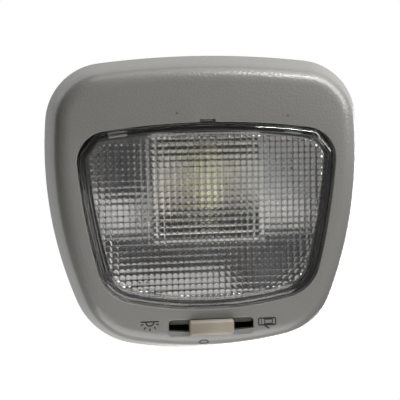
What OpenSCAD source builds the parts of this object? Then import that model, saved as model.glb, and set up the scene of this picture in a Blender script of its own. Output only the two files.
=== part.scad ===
// Car dome light: a ceiling lamp with one festoon bulb behind a pillow-optic lens and a three-way slide switch.
// +Z points up to the roof, the lens looks down along -Z, and the switch lies towards +Y.
// The origin is midway between the two roof screws, on the plane that meets the headliner.

/* [Bezel] */
// Depth of the bezel, from the headliner down to its front face
face_depth = 20; // [18:0.5:23]
// Straight land at the rim before the side walls lean in
rim_land = 1; // [0.4:0.2:1.6]
// Lean of the side walls from upright, in degrees
wall_lean = 19; // [16:1:20]
// Radius rolled between the side walls and the front face
edge_r = 6; // [5:0.5:7]
// Wall thickness of the bezel
bezel_wall = 2.4; // [1.8:0.2:2.6]
// Distance from the roof screws to the bezel's top edge
top_reach = 68.7; // [66:0.5:71]

/* [Bezel outline] */
// Radius of the top edge
rim_top_r = 385; // [340:5:450]
// Turn of half the top edge, in degrees
rim_top_turn = 6.75; // [6.25:0.25:7.25]
// Radius of the top corners
rim_corner_r = 26.5; // [25:0.5:29]
// Turn of the top corners, in degrees
rim_corner_turn = 77.5; // [76.5:0.5:78.5]
// Radius of the sides
rim_side_r = 174.5; // [168:0.5:182]
// Turn of the sides, in degrees
rim_side_turn = 27; // [26:0.5:28]
// Radius of the bottom corners
rim_low_r = 32; // [30:0.5:34]
// Turn of the bottom corners, in degrees
rim_low_turn = 57.5; // [56.5:0.5:58.5]

/* [Lens outline] */
// Distance from the bezel's bottom edge to the lens opening
lens_setback = 21.6; // [21:0.2:23]
// Radius of the opening's top edge
lens_top_r = 309; // [280:5:350]
// Turn of half the opening's top edge, in degrees
lens_top_turn = 8.1; // [7.7:0.1:8.3]
// Radius of the opening's top corners
lens_corner_r = 13.3; // [12.5:0.1:14.5]
// Turn of the opening's top corners, in degrees
lens_corner_turn = 86.3; // [85.8:0.1:86.8]
// Radius of the opening's sides
lens_side_r = 278; // [270:1:285]
// Turn of the opening's sides, in degrees
lens_side_turn = 9.6; // [9.2:0.1:10]
// Radius of the opening's bottom corners
lens_low_r = 17.7; // [16.7:0.1:18.7]
// Turn of the opening's bottom corners, in degrees
lens_low_turn = 62.6; // [61.8:0.2:63.4]

/* [Lens] */
// Wall thickness of the lens
lens_wall = 2; // [1.6:0.1:2.4]
// Gap all round between the lens and the bezel
lens_gap = 0.6; // [0.4:0.1:0.8]
// Width of the shoulder that rounds the lens down to its skirt
shoulder_w = 2.8; // [2.2:0.2:3.2]
// Drop of that shoulder
shoulder_drop = 2.4; // [1.8:0.2:2.8]
// Depth of the skirt behind the front face
skirt_depth = 10.5; // [9.5:0.5:11.5]
// Smooth band between the shoulder and the pillow optics
optic_margin = 1.8; // [1.2:0.2:2.6]
// Pitch of the pillow optics
optic_pitch = 2.5; // [2.3:0.1:3]
// Depth of the grooves between the pillows
optic_depth = 0.8; // [0.5:0.1:1]
// Width of each snap hook
hook_w = 8; // [6:0.5:10]
// How far each hook stands out of the skirt
hook_out = 1.5; // [1.2:0.1:1.8]
// Distance of the top hooks from the middle
top_hook_x = 38; // [34:1:39]
// Distance of the bottom hooks from the middle
low_hook_x = 27; // [23:1:29]
// Width of the pry notch above the lens
notch_w = 6.6; // [5:0.2:8]
// Width of the pry notch's step into the bezel
notch_d = 1.2; // [0.8:0.1:1.3]
// Depth of the pry notch behind the face
notch_deep = 6; // [4:0.5:6.5]

/* [Switch] */
// Length of the slot in the bezel
slot_l = 36.6; // [35:0.2:38]
// Width of the slot in the bezel
slot_w = 7; // [6.8:0.1:7.4]
// Corner radius of the slot
slot_r = 1.5; // [1:0.1:2]
// Distance from the slot's middle to the bezel's bottom edge
slot_setback = 14; // [13.8:0.1:14.6]
// Travel of the switch each way from its middle stop
switch_travel = 8.5; // [7.5:0.5:8.5]
// Length of the knob
knob_l = 19.2; // [17:0.2:19.6]
// Gap between the knob and each side of the slot
knob_gap = 0.35; // [0.3:0.05:0.5]
// How far the knob stands out of the bezel's face
knob_out = 3.6; // [2.5:0.1:4.5]
// Diameter of the detent balls
ball_d = 2; // [1.8:0.1:2.2]

/* [Bulb] */
// Length of the festoon bulb over its caps
bulb_l = 36; // [34:0.5:37]
// Diameter of its glass
bulb_d = 10.5; // [9:0.25:11]
// Diameter of its caps
cap_d = 7; // [6:0.25:7.5]
// Length of the straight part of each cap
cap_l = 4.6; // [4:0.2:5.2]
// Wall thickness of the glass
glass_wall = 0.6; // [0.5:0.1:0.8]

/* [Base] */
// Thickness of the base plate
plate_t = 2; // [1.8:0.1:2.4]
// Gap between the base plate and the bezel's wall
plate_gap = 0.4; // [0.3:0.1:0.6]
// Inner width of the bulb chamber
chamber_w = 47; // [46:0.5:49]
// Inner height of the bulb chamber above the headliner plane
chamber_h = 9.5; // [9:0.25:11]
// Wall thickness of the bulb chamber and socket
chamber_wall = 2; // [1.6:0.1:2.2]
// Distance of each roof screw from the middle
roof_screw_x = 38; // [36:0.5:39]
// Diameter of the roof screw holes
roof_screw_d = 4.6; // [4.2:0.1:5.2]
// Inner width of the connector socket
socket_w = 23; // [22:0.5:24]
// Depth of the connector socket
socket_l = 12; // [10:0.5:13]

/* [Contacts] */
// Thickness of the stamped strips and blades
strip_t = 0.8; // [0.6:0.05:0.9]
// Width of the strips
strip_w = 4; // [3.4:0.1:4.2]
// Distance between neighbouring blades in the socket
blade_pitch = 7; // [6.5:0.25:7.5]
// Length of the blades inside the socket
blade_l = 9; // [7:0.5:9.5]
// Thickness of the spring clips
clip_t = 0.5; // [0.4:0.05:0.6]

/* [Screws] */
// Diameter of the screws that join base and bezel
screw_d = 2.9; // [2.6:0.1:3]
// Length of those screws under the head
screw_l = 10; // [8:0.5:11]

/* [Hidden] */
$fn = 40;
eps = 0.01;
// Parts that rest on each other across a joint, or with a curved face, stay this far apart
seat = 0.3;

// Half an outline is a chain of tangent arcs from its top centre to its bottom centre. Each arc is
// [radius, first direction, last direction, centre], where direction 0 points up the photograph (-Y).
function ray(t) = [sin(t), -cos(t)];
function chain(arcs, p, i = 0, h = 0) = i < len(arcs)
  ? let (r = arcs[i][0], e = h + arcs[i][1], c = p - r * ray(h))
    concat([[r, h, e, c]], chain(arcs, c + r * ray(e), i + 1, e))
  : let (r = p[0] / sin(h)) [[r, h, 180, p - r * ray(h)]];
// Points of one half at a given inset, close enough together that no chord leaves its arc by more than sag
sag = 0.06;
function steps(a) = max(3, ceil((a[2] - a[1]) / (2 * acos(1 - sag / a[0]))));
function half_points(arcs, inset) = [for (a = arcs) let (n = steps(a))
  for (k = [0:n - 1]) a[3] + (a[0] - inset) * ray(a[1] + (a[2] - a[1]) * k / n)];
function foot(arcs, inset = 0) = let (a = arcs[len(arcs) - 1]) a[3][1] + a[0] - inset;
function outline(arcs, inset = 0) = let (h = half_points(arcs, inset))
  concat(h, [[0, foot(arcs, inset)]], [for (i = [len(h) - 1:-1:1]) [-h[i][0], h[i][1]]]);

rim = chain([[rim_top_r, rim_top_turn], [rim_corner_r, rim_corner_turn], [rim_side_r, rim_side_turn],
  [rim_low_r, rim_low_turn]], [0, -top_reach]);
rim_foot = foot(rim);
lens_foot = rim_foot - lens_setback;
lens_arcs = [[lens_top_r, lens_top_turn], [lens_corner_r, lens_corner_turn],
  [lens_side_r, lens_side_turn], [lens_low_r, lens_low_turn]];
lens_top = lens_foot - foot(chain(lens_arcs, [0, 0]));
opening = chain(lens_arcs, [0, lens_top]);

// Side profile of the bezel, as [inset, z] pairs from the rim round the rolled edge to the face
arc_z = edge_r - face_depth;
arc_inset = edge_r * cos(wall_lean) + tan(wall_lean) * (face_depth - rim_land - edge_r * (1 - sin(wall_lean)));
function rolled(r) = [for (k = [5:-1:0]) let (t = (90 - wall_lean) * k / 5)
  [arc_inset - r * sin(t), arc_z - r * cos(t)]];
inner_inset = bezel_wall / cos(wall_lean);
outer_profile = concat([[0, 0], [0, -rim_land]], rolled(edge_r));
inner_profile = concat([[inner_inset, 1], [inner_inset, -rim_land]], rolled(edge_r - bezel_wall));
face_in = bezel_wall - face_depth;

// Lens opening, its return wall and the lens levels
return_t = 1.8;
return_top = -11;
lens_front = -face_depth - 0.2;
skirt_top = lens_front + skirt_depth;
lens_in = lens_front + lens_wall;
hook_h = 2.4;
hook_clear = 0.4;
hook_z = return_top - 0.8 - hook_clear - hook_h;

// Switch levels, from the slot upwards
slot_y = rim_foot - slot_setback;
housing_front = face_in + seat;
housing_top = -plate_t - strip_t - seat;
housing_wall = 1.4;
housing_l = 2 * (switch_travel + knob_l / 2 + 9.4);
housing_y0 = slot_y - slot_w / 2 - 2;
housing_y1 = slot_y + slot_w / 2 + 0.4;
cavity_y0 = housing_y0 + housing_wall;
cavity_y1 = housing_y1 - housing_wall;
cavity_l = housing_l - 2 * housing_wall;
stem_w = 1.2;
stem_l = 8;
slit_y0 = slot_y - stem_w / 2 - seat;
slit_y1 = slot_y + slot_w / 2 - 0.4;
// The slit is as long as the slot, so the slot looks dark from end to end
slit_l = slot_l - 1;
carriage_l = 18;
carriage_z0 = housing_front + 1.5 + seat;
carriage_z1 = -6.2;
row_near = cavity_y0 + 1.5;
row_far = cavity_y1 - 1.4;

// Bulb chamber
chamber_y0 = lens_top + 1.8;
clip_room = 5.6;
bulb_y0 = chamber_y0 + clip_room;
bulb_y = bulb_y0 + bulb_l / 2;
bulb_z = -2;
rivet_in = 2.45;
rivet_ys = [bulb_y0 - rivet_in, bulb_y0 + bulb_l + rivet_in];
chamber_y1 = bulb_y0 + bulb_l + 7.5;
tip_l = 1.6;
tip_r = 1.3;

// Base plate, tray and strips
plate_inset = inner_inset + tan(wall_lean) * max(0, plate_t - rim_land) + plate_gap;
tray_inset = lens_gap + lens_wall + 0.7;
rib_h = 2.2;
tray_back = -plate_t - rib_h;
tray_t = 1.4;
tray_wall_z = -11;
run_z = -plate_t - strip_t;
blade_z = 3;
socket_y1 = chamber_y1 + chamber_wall + socket_l;
side_x = 15;
lamp_x = 20.5;
stake_r = 1;
peg_r = 1.5;
pegs = [[-28.1, 0], [35, chamber_y0 + 18], [-29, chamber_y1 + 19]];
// The tray is lifted off its pegs to reach the roof screws, and cups round their heads
head_room_r = 5.4;
head_room_z = -6.6;

// Screw posts stand where the rim's corner arcs point, a fixed way in from the rim
post_r = 3.4;
post_inset = 17.5;
function on_arc(a, t, inset) = a[3] + (a[0] - inset) * ray(t);
post_spots = [on_arc(rim[1], 32, post_inset), on_arc(rim[3], 148, post_inset - 2)];
cup_r = 4.6;
cup_depth = 4.8;
head_r = 2.75;
head_h = 1.9;
head_z = -2.5;

module loft(levels, arcs) {
  rings = [for (l = levels) [for (p = outline(arcs, l[0])) [p[0], p[1], l[1]]]];
  n = len(rings[0]);
  m = len(rings);
  polyhedron(points = [for (r = rings) each r], faces = concat([[for (i = [n - 1:-1:0]) i]],
    [[for (i = [0:n - 1]) (m - 1) * n + i]],
    [for (j = [0:m - 2]) for (i = [0:n - 1]) let (k = (i + 1) % n)
      [j * n + i, j * n + k, (j + 1) * n + k, (j + 1) * n + i]]));
}
module plate(arcs, inset, z0, z1) translate([0, 0, z0]) linear_extrude(z1 - z0) polygon(outline(arcs, inset));
module block(lo, hi) translate(lo) cube(hi - lo);
module rod(r, z0, z1) translate([0, 0, z0]) cylinder(r = r, h = z1 - z0);
module both_sides() {
  children();
  mirror([1, 0, 0]) children();
}
module at_posts() for (s = post_spots) for (x = [-1, 1]) translate([x * s[0], s[1], 0]) children();
// Places a child on an arc, with its -Y pointing out of the outline
module on_edge(a, t, inset = 0) translate(on_arc(a, t, inset)) rotate(t) children();
module at_hooks() both_sides() {
  on_edge(opening[0], asin(top_hook_x / opening[0][0])) children();
  on_edge(opening[4], 180 - asin(low_hook_x / opening[4][0])) children();
}
module round_rect(l, w, r) {
  square([l - 2 * r, w], center = true);
  square([l, w - 2 * r], center = true);
  for (x = [-1, 1]) for (y = [-1, 1]) translate([x * (l / 2 - r), y * (w / 2 - r)]) circle(r);
}

module bezel() color("#8f8e8a") difference() {
  union() {
    difference() {
      loft(outer_profile, rim);
      loft(inner_profile, rim);
    }
    plate(opening, -return_t, face_in - 1, return_top);
    at_posts() rod(post_r, face_in - 1, -cup_depth);
  }
  plate(opening, 0, -face_depth - 1, return_top + 1);
  at_posts() rod(screw_d / 2 + 0.05, -screw_l - 5, 0);
  at_hooks() block([-hook_w / 2 - hook_clear, -return_t - 1, hook_z - hook_clear],
    [hook_w / 2 + hook_clear, 1, hook_z + hook_h + hook_clear]);
  translate([0, slot_y, -face_depth - 1]) linear_extrude(bezel_wall + 2) round_rect(slot_l, slot_w, slot_r);
  block([-notch_w / 2, lens_top - notch_d, -face_depth - 1], [notch_w / 2, lens_top + 2, notch_deep - face_depth]);
}

lens_outer = [[lens_gap, skirt_top], [lens_gap, lens_front + shoulder_drop],
  for (k = [1:4]) let (t = 90 * k / 4)
    [lens_gap + shoulder_w * (1 - cos(t)), lens_front + shoulder_drop * (1 - sin(t))]];
lens_inner_inset = lens_gap + lens_wall;
lens_inner = [[lens_inner_inset, skirt_top + 1], [lens_inner_inset, lens_in + shoulder_drop],
  [lens_inner_inset + shoulder_w * 0.4, lens_in + shoulder_drop * 0.35], [lens_inner_inset + shoulder_w * 0.9, lens_in]];
// Pillow optics: two saw-toothed slabs that cross leave a pyramid in each square of the grid
optic_inset = lens_gap + shoulder_w + optic_margin;
optic_cols = 2 * ceil((opening[1][3][0] + lens_corner_r - optic_inset) / optic_pitch) + 1;
optic_rows = 2 * ceil((lens_foot - lens_top) / 2 / optic_pitch) + 1;
optic_mid = (lens_foot + lens_top) / 2;
optic_base = 0.6;
optic_step = 0.05;
function teeth(n) = concat([[-n * optic_pitch / 2, -optic_base]], [for (k = [0:2 * n])
  [(k - n) * optic_pitch / 2, optic_step + (k % 2) * optic_depth]], [[n * optic_pitch / 2, -optic_base]]);
module pillow_optics() intersection() {
  translate([0, optic_mid, lens_in]) rotate([90, 0, 0]) linear_extrude((optic_rows + 2) * optic_pitch, center = true)
    polygon(teeth(optic_cols));
  translate([0, optic_mid, lens_in]) rotate([90, 0, 90]) linear_extrude((optic_cols + 2) * optic_pitch, center = true)
    polygon(teeth(optic_rows));
  plate(opening, optic_inset, lens_front, lens_in + optic_depth + 1);
}
// The top corners are cut straight, which leaves a dark slot beside the bezel there
corner_flat = 1.1;
module lens() color("#d8dcdc", 0.5) {
  difference() {
    loft(lens_outer, opening);
    loft(lens_inner, opening);
    both_sides() on_edge(opening[1], (opening[1][1] + opening[1][2]) / 2, lens_gap + corner_flat)
      block([-lens_corner_r, -4, lens_front - 1], [lens_corner_r, 0, skirt_top + 1]);
  }
  pillow_optics();
  at_hooks() translate([0, lens_gap, 0]) block([-hook_w / 2, -hook_out, hook_z], [hook_w / 2, 0.6, hook_z + hook_h]);
}

tray_side = chamber_w / 2 - 1.5;
tray_end = chamber_y1 - 1;
// Fields of the tray that are open to the dark base behind: beside the bulb, and across below it
band_x = 45;
band_in = 3.5;
module tray_windows() {
  polygon([[-44, chamber_y0 + 4], [-28, chamber_y0 + 4], [-28, chamber_y0 + 30], [-44, chamber_y0 + 30]]);
  polygon([[-band_x, chamber_y1 - 2.5], [band_x, chamber_y1 - 2.5], [band_x - band_in, chamber_y1 + 12.5],
    [band_in - band_x, chamber_y1 + 12.5]]);
  polygon([[6, chamber_y1 + 12], [41, chamber_y1 + 12], [33, lens_foot - 6], [13, lens_foot - 6]]);
}
module light_tray() color("#d5d6d2") difference() {
  union() {
    plate(opening, tray_inset, tray_back - tray_t, tray_back);
    difference() {
      plate(opening, tray_inset, tray_back - 5, tray_back - tray_t + eps);
      plate(opening, tray_inset + 1.4, tray_back - 6, tray_back);
    }
    block([-tray_side - 1.4, chamber_y0 + 2, tray_wall_z], [tray_side + 1.4, tray_end + 1.4, tray_back - tray_t + eps]);
    both_sides() translate([roof_screw_x, 0, 0]) rod(head_room_r + tray_t, head_room_z - tray_t, tray_back);
  }
  both_sides() translate([roof_screw_x, 0, 0]) rod(head_room_r, head_room_z, tray_back + 1);
  block([-tray_side, chamber_y0 + 3.4, tray_wall_z - 1], [tray_side, tray_end, tray_back + 1]);
  translate([0, 0, tray_back - tray_t - 1]) linear_extrude(tray_t + 2) difference() {
    tray_windows();
    translate([-tray_side - 1.4, chamber_y0]) square([2 * tray_side + 2.8, tray_end + 1.4 - chamber_y0]);
  }
  for (p = pegs) translate(p) rod(peg_r + 0.15, tray_back - tray_t - 1, tray_back + 1);
}

trough_t = 0.5;
trough_x = chamber_w / 2 - 1;
trough_top = chamber_h - 1;
trough_low = tray_back + seat;
trough_rise = trough_top - trough_low;
trough_r = (trough_x * trough_x + trough_rise * trough_rise) / (2 * trough_rise);
trough_y0 = bulb_y0 + cap_l;
trough_y1 = bulb_y0 + bulb_l - cap_l;
module reflector() color("#c9cacb") translate([0, trough_y1, 0]) rotate([90, 0, 0]) linear_extrude(trough_y1 - trough_y0)
  intersection() {
    translate([0, trough_top - trough_r]) difference() {
      circle(trough_r, $fn = 120);
      circle(trough_r - trough_t, $fn = 120);
    }
    translate([-trough_x, trough_low]) square([2 * trough_x, trough_rise + 1]);
  }

socket_top = chamber_h + chamber_wall;
socket_floor = 1.2;
// Two tongues hook behind the roof frame above the lamp
tongue_y = chamber_y0 - chamber_wall - 5;
tongue_l = 9;
tongue_t = 2;
tongue_w = 10;
roof_gap = 3;
module roof_hook() {
  block([-tongue_w / 2, tongue_y - tongue_t, -plate_t], [tongue_w / 2, tongue_y, roof_gap + tongue_t]);
  block([-tongue_w / 2, tongue_y - tongue_l, roof_gap], [tongue_w / 2, tongue_y, roof_gap + tongue_t]);
  for (x = [-tongue_w / 2, tongue_w / 2 - 1.2]) translate([x, tongue_y - 0.1, 0]) rotate([90, 0, 90]) linear_extrude(1.2)
    polygon([[0, -plate_t], [4, -plate_t], [0, roof_gap + tongue_t]]);
}
module base() color("#3a3a3c") {
  difference() {
    union() {
      plate(rim, plate_inset, -plate_t, 0);
      translate([0, (chamber_y0 + chamber_y1) / 2, -plate_t])
        linear_extrude(plate_t + chamber_h + chamber_wall)
          round_rect(chamber_w + 2 * chamber_wall, chamber_y1 - chamber_y0 + 2 * chamber_wall, 3);
      block([-socket_w / 2 - chamber_wall, chamber_y1, -plate_t], [socket_w / 2 + chamber_wall, socket_y1, socket_top]);
      both_sides() translate([roof_screw_x, 0, 0]) rod(head_room_r - 0.4, -plate_t - 0.6, 0);
      at_posts() rod(cup_r, -cup_depth, 0);
      for (x = [-22, 22]) translate([x, 0, 0]) roof_hook();
      for (p = pegs) translate(p) {
        rod(3, tray_back, -plate_t + eps);
        rod(peg_r, tray_back - tray_t - 1.4, 0);
      }
      both_sides() {
        block([31, chamber_y0 + 3, tray_back], [32.4, chamber_y1 - 3.5, -plate_t + eps]);
        block([chamber_w / 2 + 1, -8.4, tray_back], [46, -7, -plate_t + eps]);
      }
      block([-3, socket_y1 - 5, socket_top - eps], [3, socket_y1 - 1.5, socket_top + 1.2]);
    }
    block([-chamber_w / 2, chamber_y0, -plate_t - 1], [chamber_w / 2, chamber_y1, chamber_h]);
    block([-socket_w / 2, chamber_y1 + chamber_wall, socket_floor], [socket_w / 2, socket_y1 + 1, chamber_h]);
    for (k = [-1:1]) block([k * blade_pitch - strip_w / 2 - 0.1, chamber_y1 - 1, blade_z - strip_t / 2 - 0.05],
      [k * blade_pitch + strip_w / 2 + 0.1, chamber_y1 + chamber_wall + 1, blade_z + strip_t / 2 + 0.05]);
    both_sides() translate([roof_screw_x, 0, 0]) rod(roof_screw_d / 2, -7, 1);
    at_posts() {
      rod(screw_d / 2 + 0.2, -cup_depth - 1, 1);
      rod(head_r + 0.4, head_z, 1);
    }
  }
  block([-4, trough_y0 + 2, trough_top + 0.1], [4, trough_y0 + 4, chamber_h + eps]);
  block([-4, trough_y1 - 4, trough_top + 0.1], [4, trough_y1 - 2, chamber_h + eps]);
  for (y = rivet_ys) difference() {
    block([-3.4, y - 1.9, blade_z + strip_t / 2], [3.4, y + 1.9, chamber_h + eps]);
    translate([0, y, 0]) rod(1.05, blade_z - 1, chamber_h - 1);
  }
  block([-lamp_x - 0.8, chamber_y0 - eps, blade_z + strip_t / 2], [-lamp_x + 0.8, chamber_y1 - 4, chamber_h + eps]);
  for (s = stakes) translate(s) rod(stake_r, run_z - 0.8, -plate_t + eps);
}
stakes = [[-side_x, chamber_y1 + 9], [side_x, chamber_y1 + 9], [-lamp_x - 0.5, chamber_y1 + 15]];

module bulb_glass() color("#e8e4c8", 0.5) translate([0, bulb_y, bulb_z]) rotate([90, 0, 0]) rotate_extrude() {
  glass_l = bulb_l - 2 * tip_l - 2 * cap_l;
  neck = 2.4;
  difference() {
    polygon([[0, -glass_l / 2 - 1], [cap_d / 2 - 0.4, -glass_l / 2 - 1], [cap_d / 2 - 0.4, -glass_l / 2],
      [bulb_d / 2 - 0.4, -glass_l / 2 + neck - 0.7], [bulb_d / 2, -glass_l / 2 + neck],
      [bulb_d / 2, glass_l / 2 - neck], [bulb_d / 2 - 0.4, glass_l / 2 - neck + 0.7],
      [cap_d / 2 - 0.4, glass_l / 2], [cap_d / 2 - 0.4, glass_l / 2 + 1], [0, glass_l / 2 + 1]]);
    polygon([[0, -glass_l / 2 + 0.6], [cap_d / 2 - glass_wall - 0.4, -glass_l / 2 + 0.6],
      [bulb_d / 2 - glass_wall, -glass_l / 2 + neck + 0.2], [bulb_d / 2 - glass_wall, glass_l / 2 - neck - 0.2],
      [cap_d / 2 - glass_wall - 0.4, glass_l / 2 - 0.6], [0, glass_l / 2 - 0.6]]);
  }
}
module bulb_cap() color("#b9b6ad") rotate([90, 0, 0]) rotate_extrude() difference() {
  polygon([[0, 0], [tip_r - 0.3, 0], [tip_r, 0.3], [tip_r, 0.6], [cap_d / 2 - 0.4, tip_l - 0.2],
    [cap_d / 2, tip_l + 0.3], [cap_d / 2, tip_l + cap_l], [0, tip_l + cap_l]]);
  polygon([[0, tip_l + cap_l - 1.05], [cap_d / 2 - 0.35, tip_l + cap_l - 1.05],
    [cap_d / 2 - 0.35, tip_l + cap_l + 1], [0, tip_l + cap_l + 1]]);
}
module bulb_cap_top() translate([0, bulb_y0, bulb_z]) mirror([0, 1, 0]) bulb_cap();
module bulb_cap_low() translate([0, bulb_y0 + bulb_l, bulb_z]) bulb_cap();
module bulb_filament() color("#8a8a8c") translate([0, bulb_y, bulb_z]) rotate([90, 0, 0]) {
  inner = bulb_l - 2 * tip_l - 2 * cap_l - 1.3;
  translate([0, 0, -inner / 2]) cylinder(r = 0.2, h = inner);
  translate([0, 0, -4]) cylinder(r = 0.5, h = 8);
}

// A clip stands on its strip and takes the cap's tip in its hole
clip_w = 6.6;
clip_hole = tip_r + 0.1;
// How far each clip sits in over the end of the bulb's tip
clip_in = 0.55;
foot_z = blade_z - strip_t / 2;
module bulb_clip() {
  difference() {
    union() {
      block([-clip_w / 2, -clip_t - 4.2, foot_z - clip_t], [clip_w / 2, 0, foot_z]);
      block([-clip_w / 2, -clip_t, bulb_z - 4.4], [clip_w / 2, 0, foot_z]);
      translate([0, 0, bulb_z - 4.4]) rotate([0, 90, 0]) translate([0, -1.2, -clip_w / 2]) difference() {
        cylinder(r = 1.2, h = clip_w);
        translate([0, 0, -1]) cylinder(r = 1.2 - clip_t, h = clip_w + 2);
        translate([-3, -3, -1]) cube([3, 6, clip_w + 2]);
      }
    }
    translate([0, -clip_in - rivet_in, foot_z - 3]) cylinder(r = 1.05, h = 6);
    translate([0, 1, bulb_z]) rotate([90, 0, 0]) cylinder(r = clip_hole, h = 3);
  }
}
module bulb_clip_lamp() color("#a8a49a") translate([0, bulb_y0 + clip_in, 0]) bulb_clip();
module bulb_clip_feed() color("#a8a49a") translate([0, bulb_y0 + bulb_l - clip_in, 0]) mirror([0, 1, 0]) bulb_clip();
module clip_rivets() color("#b8b4a8") for (y = rivet_ys) translate([0, y, 0]) {
  rod(0.95, foot_z - clip_t, blade_z + 3);
  rod(1.6, foot_z - clip_t - 0.5, foot_z - clip_t);
}

// A blade runs through the chamber's end wall into the socket
module blade(x) block([x - strip_w / 2, chamber_y1 - 2, foot_z], [x + strip_w / 2, chamber_y1 + chamber_wall + blade_l, foot_z + strip_t]);
riser_y = chamber_y1 - 2 - strip_t;
module riser(x, w) block([x - w / 2, riser_y, run_z], [x + w / 2, riser_y + strip_t, foot_z + strip_t]);
module run(x, w, y1) block([x - w / 2, riser_y, run_z], [x + w / 2, y1, run_z + strip_t]);
module stake_hole(s) translate(s) rod(stake_r + 0.1, run_z - 1, 0);
pad_in = 5;
pad_out = 17;
module side_strip() color("#a9a08a") {
  blade(-blade_pitch);
  block([-side_x - strip_w / 2, riser_y, foot_z], [-blade_pitch + strip_w / 2, chamber_y1 - 1.9, foot_z + strip_t]);
  riser(-side_x, strip_w);
  difference() {
    union() {
      run(-side_x, strip_w, row_near + 1.1);
      block([-pad_out, row_near - 1, run_z], [-pad_in, row_near + 1.1, run_z + strip_t]);
    }
    stake_hole(stakes[0]);
  }
}
module ground_strip() side_strip();
module door_strip() mirror([1, 0, 0]) side_strip();
module feed_strip() color("#a9a08a") difference() {
  union() {
    blade(0);
    block([-strip_w / 2, bulb_y0 + bulb_l + 0.6, foot_z], [strip_w / 2, chamber_y1 - 1.9, foot_z + strip_t]);
  }
  translate([0, rivet_ys[1], 0]) rod(1.05, 0, 6);
}
lamp_w = 3;
module lamp_strip() color("#a9a08a") difference() {
  union() {
    block([-lamp_x - lamp_w / 2, chamber_y0 + 0.6, foot_z], [strip_w / 2, chamber_y0 + 4.6, foot_z + strip_t]);
    block([-lamp_x - lamp_w / 2, chamber_y0 + 0.6, foot_z], [-lamp_x + lamp_w / 2, riser_y + strip_t, foot_z + strip_t]);
    riser(-lamp_x, lamp_w);
    run(-lamp_x, lamp_w, row_far + 1);
    block([-lamp_x - lamp_w / 2, row_far - 1, run_z], [pad_in + switch_travel, row_far + 1, run_z + strip_t]);
  }
  stake_hole(stakes[2]);
  translate([0, rivet_ys[0], 0]) rod(1.05, 0, 6);
}

module switch_housing() color("#1d1d1e") difference() {
  translate([-housing_l / 2, 0, 0]) rotate([90, 0, 90]) linear_extrude(housing_l)
    polygon([[housing_y0, housing_front], [housing_y1 - 2.2, housing_front], [housing_y1, housing_front + 2.2],
      [housing_y1, housing_top], [housing_y0, housing_top]]);
  block([-cavity_l / 2, cavity_y0, housing_front + 1.5], [cavity_l / 2, cavity_y1, 0]);
  block([-slit_l / 2, slit_y0, housing_front - 1], [slit_l / 2, slit_y1, carriage_z0]);
  for (x = ball_x) for (k = [-1:1]) translate([x + k * switch_travel, ball_y, housing_front + 1.5])
    rotate([90, 0, 0]) cylinder(r = 0.8, h = ball_d + 0.8, center = true);
}
ball_x = [-6.2, 6.2];
ball_y = cavity_y0 + 0.4 + ball_d / 2 + 0.5;
ball_z = carriage_z0 + ball_d / 2;
pocket_top = carriage_z1 - 1.4;

knob_w = slot_w - 2 * knob_gap;
knob_front = -face_depth - knob_out;
knob_back = -face_depth + bezel_wall - 0.1;
module switch_knob() color("#c9bfae") {
  intersection() {
    translate([0, slot_y, 0]) rotate([90, 0, 0]) linear_extrude(knob_w, center = true) intersection() {
      translate([0, knob_front + 90]) circle(90, $fn = 180);
      translate([-knob_l / 2, knob_front]) square([knob_l, knob_back - knob_front]);
    }
    translate([0, slot_y, 0]) rotate([90, 0, 90]) linear_extrude(knob_l, center = true) intersection() {
      translate([0, knob_front + 8]) circle(8, $fn = 90);
      translate([-knob_w / 2, knob_front]) square([knob_w, knob_back - knob_front]);
    }
    translate([0, slot_y, knob_front]) linear_extrude(20) round_rect(knob_l, knob_w, 0.9);
  }
  block([-stem_l / 2, slot_y - stem_w / 2, knob_back - 1], [stem_l / 2, slot_y + stem_w / 2, carriage_z1 - 2]);
}
module switch_carriage() color("#242426") difference() {
  block([-carriage_l / 2, cavity_y0 + seat, carriage_z0], [carriage_l / 2, cavity_y1 - seat, carriage_z1]);
  block([-stem_l / 2 - 0.05, slot_y - stem_w / 2 - 0.05, carriage_z0 - 1], [stem_l / 2 + 0.05, slot_y + stem_w / 2 + 0.05, carriage_z1 - 1.9]);
  for (x = ball_x) translate([x, ball_y, 0]) rod(ball_d / 2 + 0.1, carriage_z0 - 1, pocket_top);
}
module detent_balls() color("#b4b6b8") for (x = ball_x) translate([x, ball_y, ball_z]) sphere(d = ball_d);
module detent_springs() color("#8c8e90") for (x = ball_x) translate([x, ball_y, 0])
  difference() {
    rod(ball_d / 2 - 0.1, ball_z + ball_d / 2 + 0.1, pocket_top - 0.05);
    rod(ball_d / 2 - 0.45, ball_z, pocket_top + 1);
  }

bridge_t = 0.4;
bridge_w = 4;
bridge_top = run_z - seat;
module contact_bridge() color("#b08c5a") translate([-bridge_w / 2, 0, 0]) rotate([90, 0, 90]) linear_extrude(bridge_w) {
  mid = (row_near + row_far) / 2;
  low = carriage_z1;
  polygon([[mid - 0.8, low], [mid + 0.8, low], [row_far - 0.4, bridge_top - bridge_t - 0.1], [row_far, bridge_top - bridge_t],
    [row_far + 0.5, bridge_top - bridge_t - 0.5], [row_far + 0.8, bridge_top - 0.5], [row_far + 0.3, bridge_top],
    [row_far - 0.4, bridge_top], [mid + 0.5, low + bridge_t], [mid - 0.5, low + bridge_t],
    [row_near + 0.4, bridge_top], [row_near - 0.3, bridge_top], [row_near - 0.8, bridge_top - 0.5],
    [row_near - 0.5, bridge_top - bridge_t - 0.5], [row_near, bridge_top - bridge_t], [row_near + 0.4, bridge_top - bridge_t - 0.1]]);
}

module base_screws() color("#8d9094") at_posts() difference() {
  union() {
    rod(head_r, head_z, head_z + head_h);
    rod(screw_d / 2, head_z - screw_l, head_z + eps);
  }
  for (a = [0, 90]) rotate(a) block([-1.5, -0.3, head_z + head_h - 0.9], [1.5, 0.3, head_z + head_h + 1]);
}

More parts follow.
